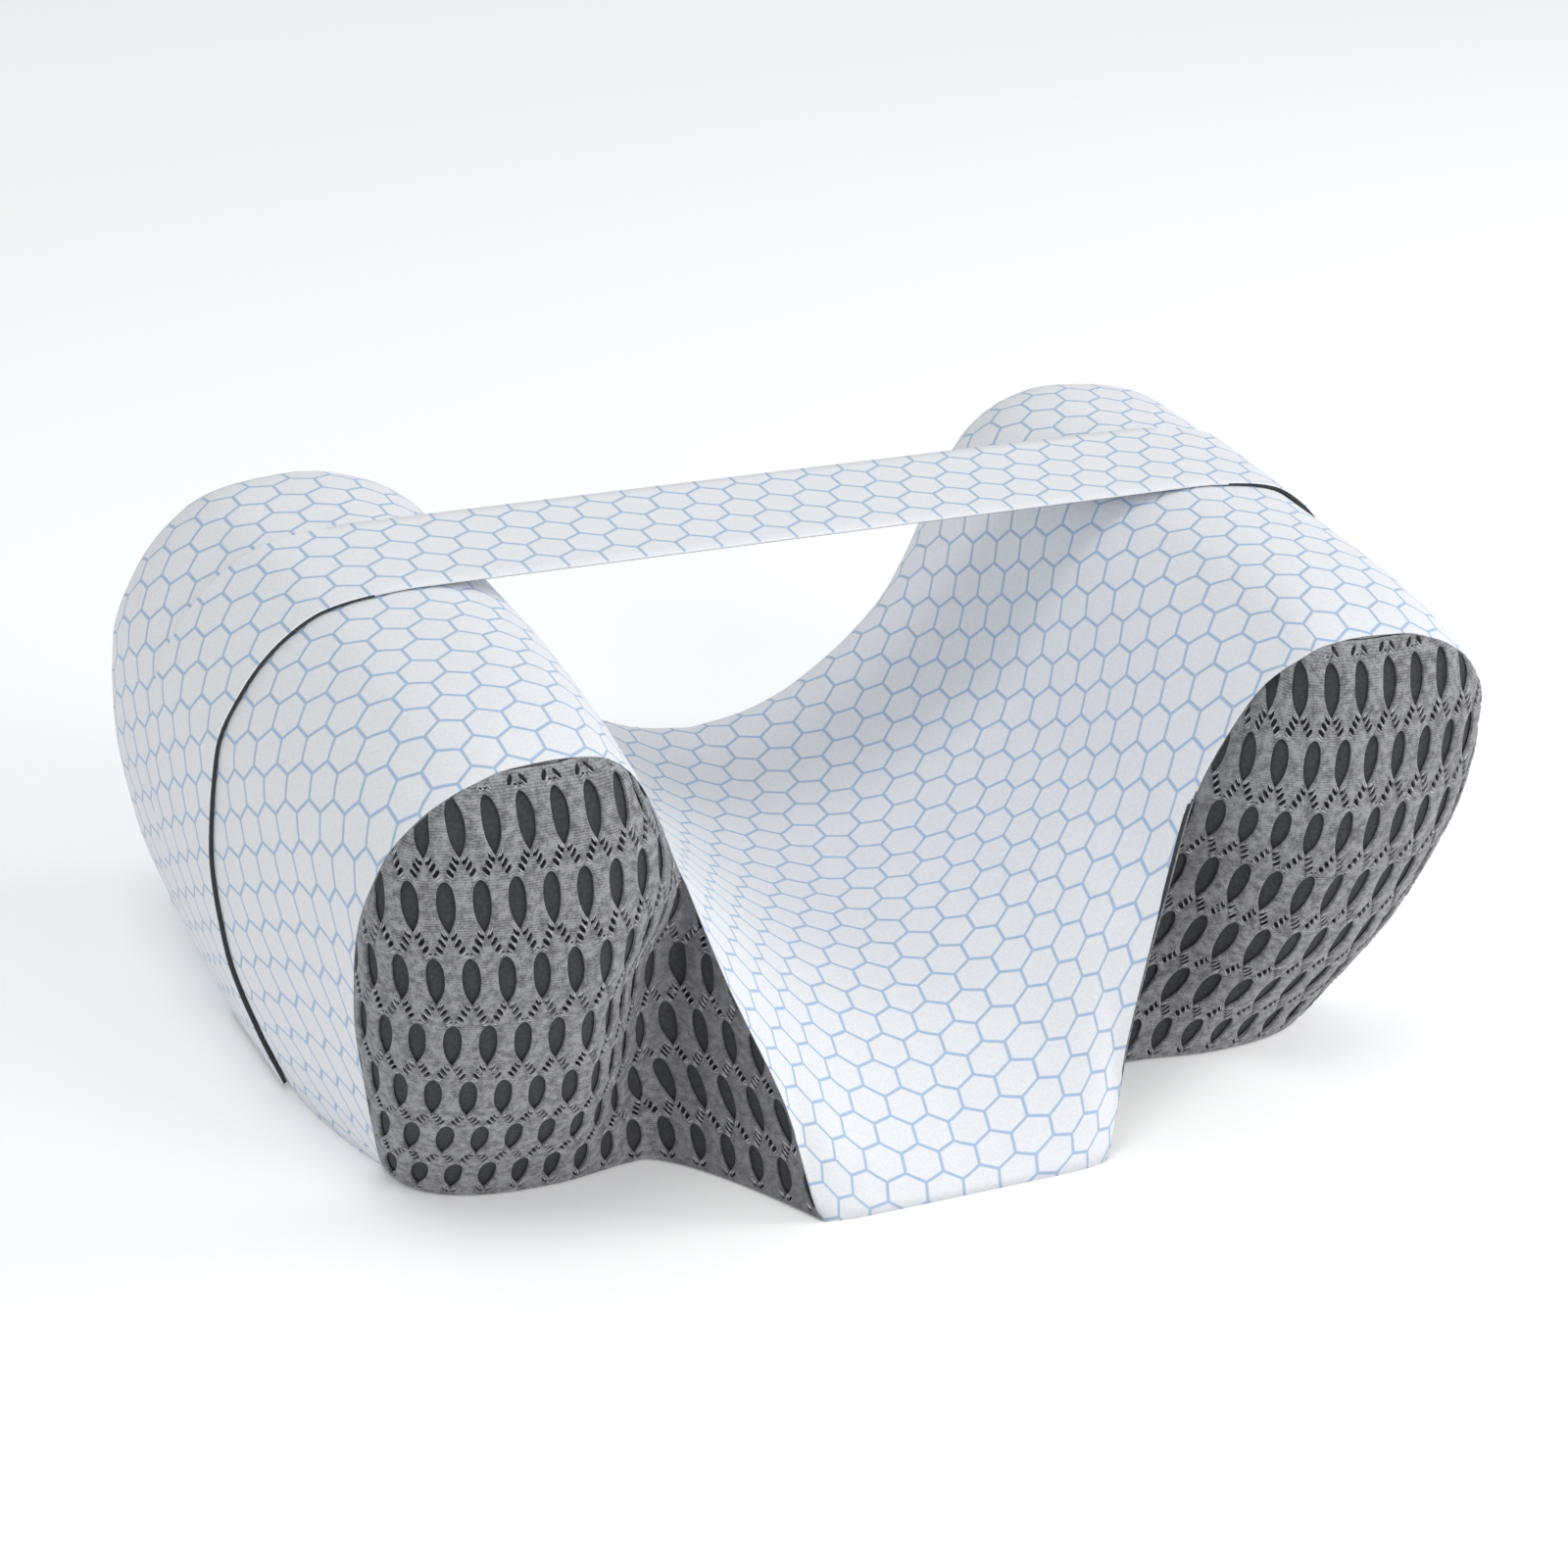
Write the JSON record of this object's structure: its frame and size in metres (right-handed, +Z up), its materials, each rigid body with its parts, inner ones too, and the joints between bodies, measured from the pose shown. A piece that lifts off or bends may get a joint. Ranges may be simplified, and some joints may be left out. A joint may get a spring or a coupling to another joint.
{
  "type": "stomach sleeper pillow",
  "caption": "Foam pillow for face-down sleeping: tall side rolls joined by a low saddle with a front tongue, mesh front panels and a flat strap over the rolls.",
  "frame": {"origin": "on the surface the pillow lies on, under the middle of its box", "axes": "+X across both rolls, +Y from the tongue toward the back, +Z up"},
  "size_m": [0.5018, 0.3288, 0.2074],
  "materials": {
    "white_knit": "smooth white knit with a pale blue honeycomb line print",
    "grey_mesh": "grey open-hole spacer mesh",
    "white_band": "smooth white knit band with a pale blue honeycomb line print"
  },
  "bodies": {
    "root": {"cushion": "white_knit", "mesh_panel_left": "grey_mesh", "mesh_panel_right": "grey_mesh", "strap": "white_band"}
  },
  "joints": []
}
